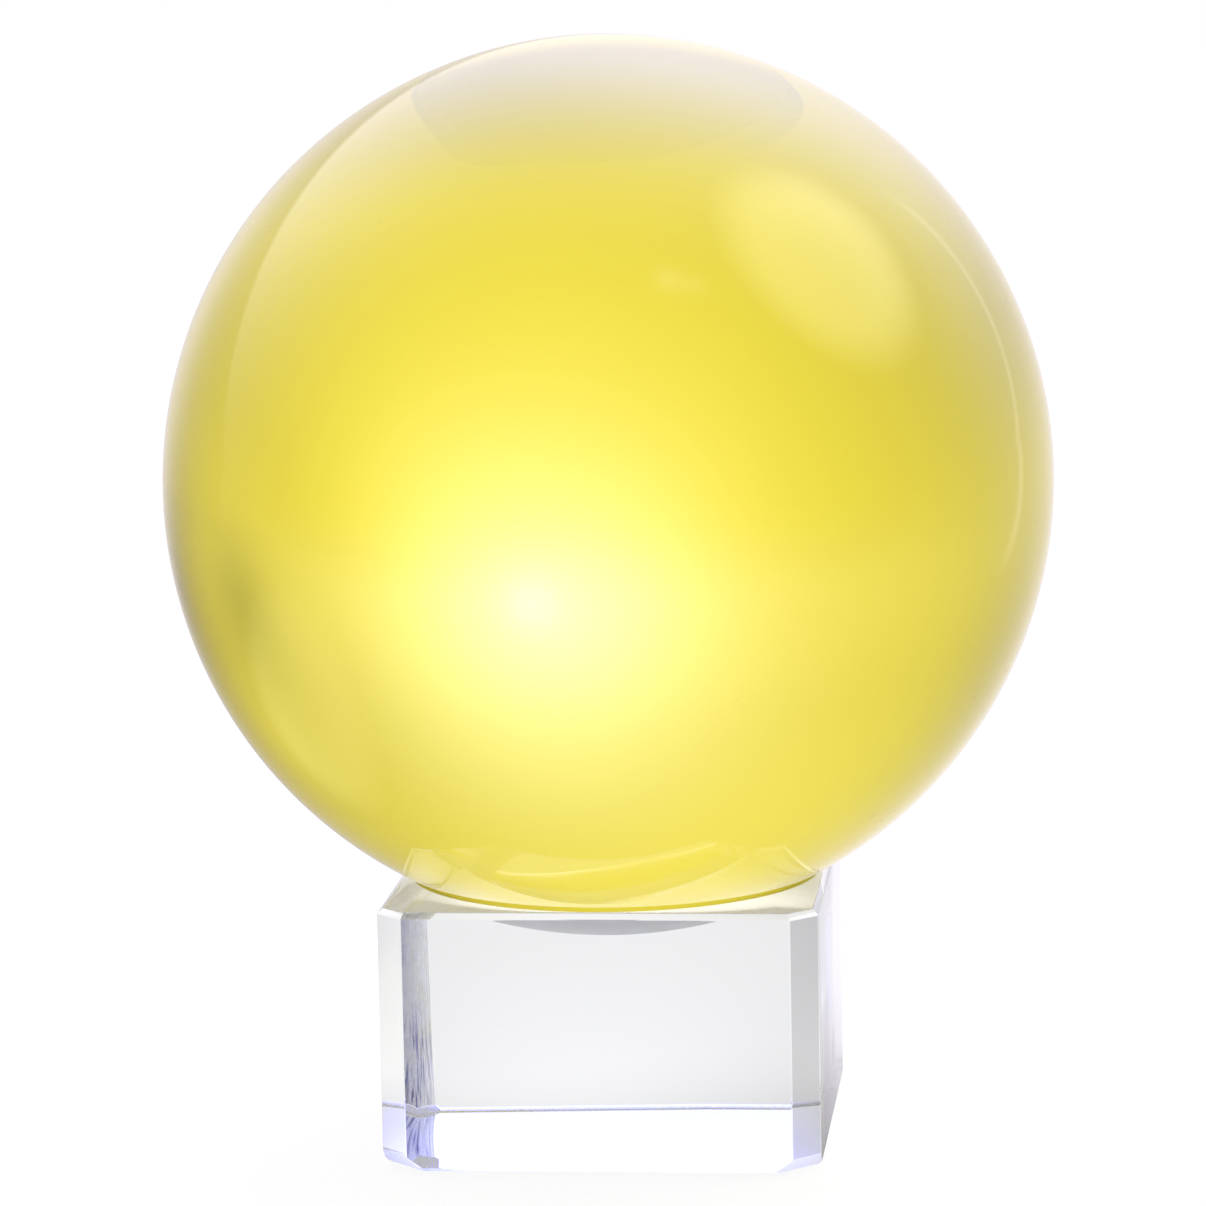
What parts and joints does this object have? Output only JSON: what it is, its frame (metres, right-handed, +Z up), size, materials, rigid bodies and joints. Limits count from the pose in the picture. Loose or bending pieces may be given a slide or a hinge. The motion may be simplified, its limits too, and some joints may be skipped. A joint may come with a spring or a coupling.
{
  "type": "crystal ball",
  "caption": "Solid tinted glass ball resting in a ground dish in the top of a small square clear glass stand.",
  "frame": {"origin": "middle of the stand's underside, directly below the ball's centre", "axes": "+Z up through the ball's centre, +X and +Y square to the stand's side faces"},
  "size_m": [0.08, 0.08, 0.099],
  "materials": {
    "clear_glass": "polished clear glass with ground dish and ground corner flats",
    "yellow_glass": "polished, tinted yellow all through"
  },
  "bodies": {
    "stand": {"glass_stand": "clear_glass"},
    "ball": {"crystal_ball": "yellow_glass"}
  },
  "joints": [
    {"name": "ball_lift", "type": "slide", "parent": "stand", "child": "ball", "axis": [0, 0, 1], "range_m": [0, 0.1]}
  ]
}
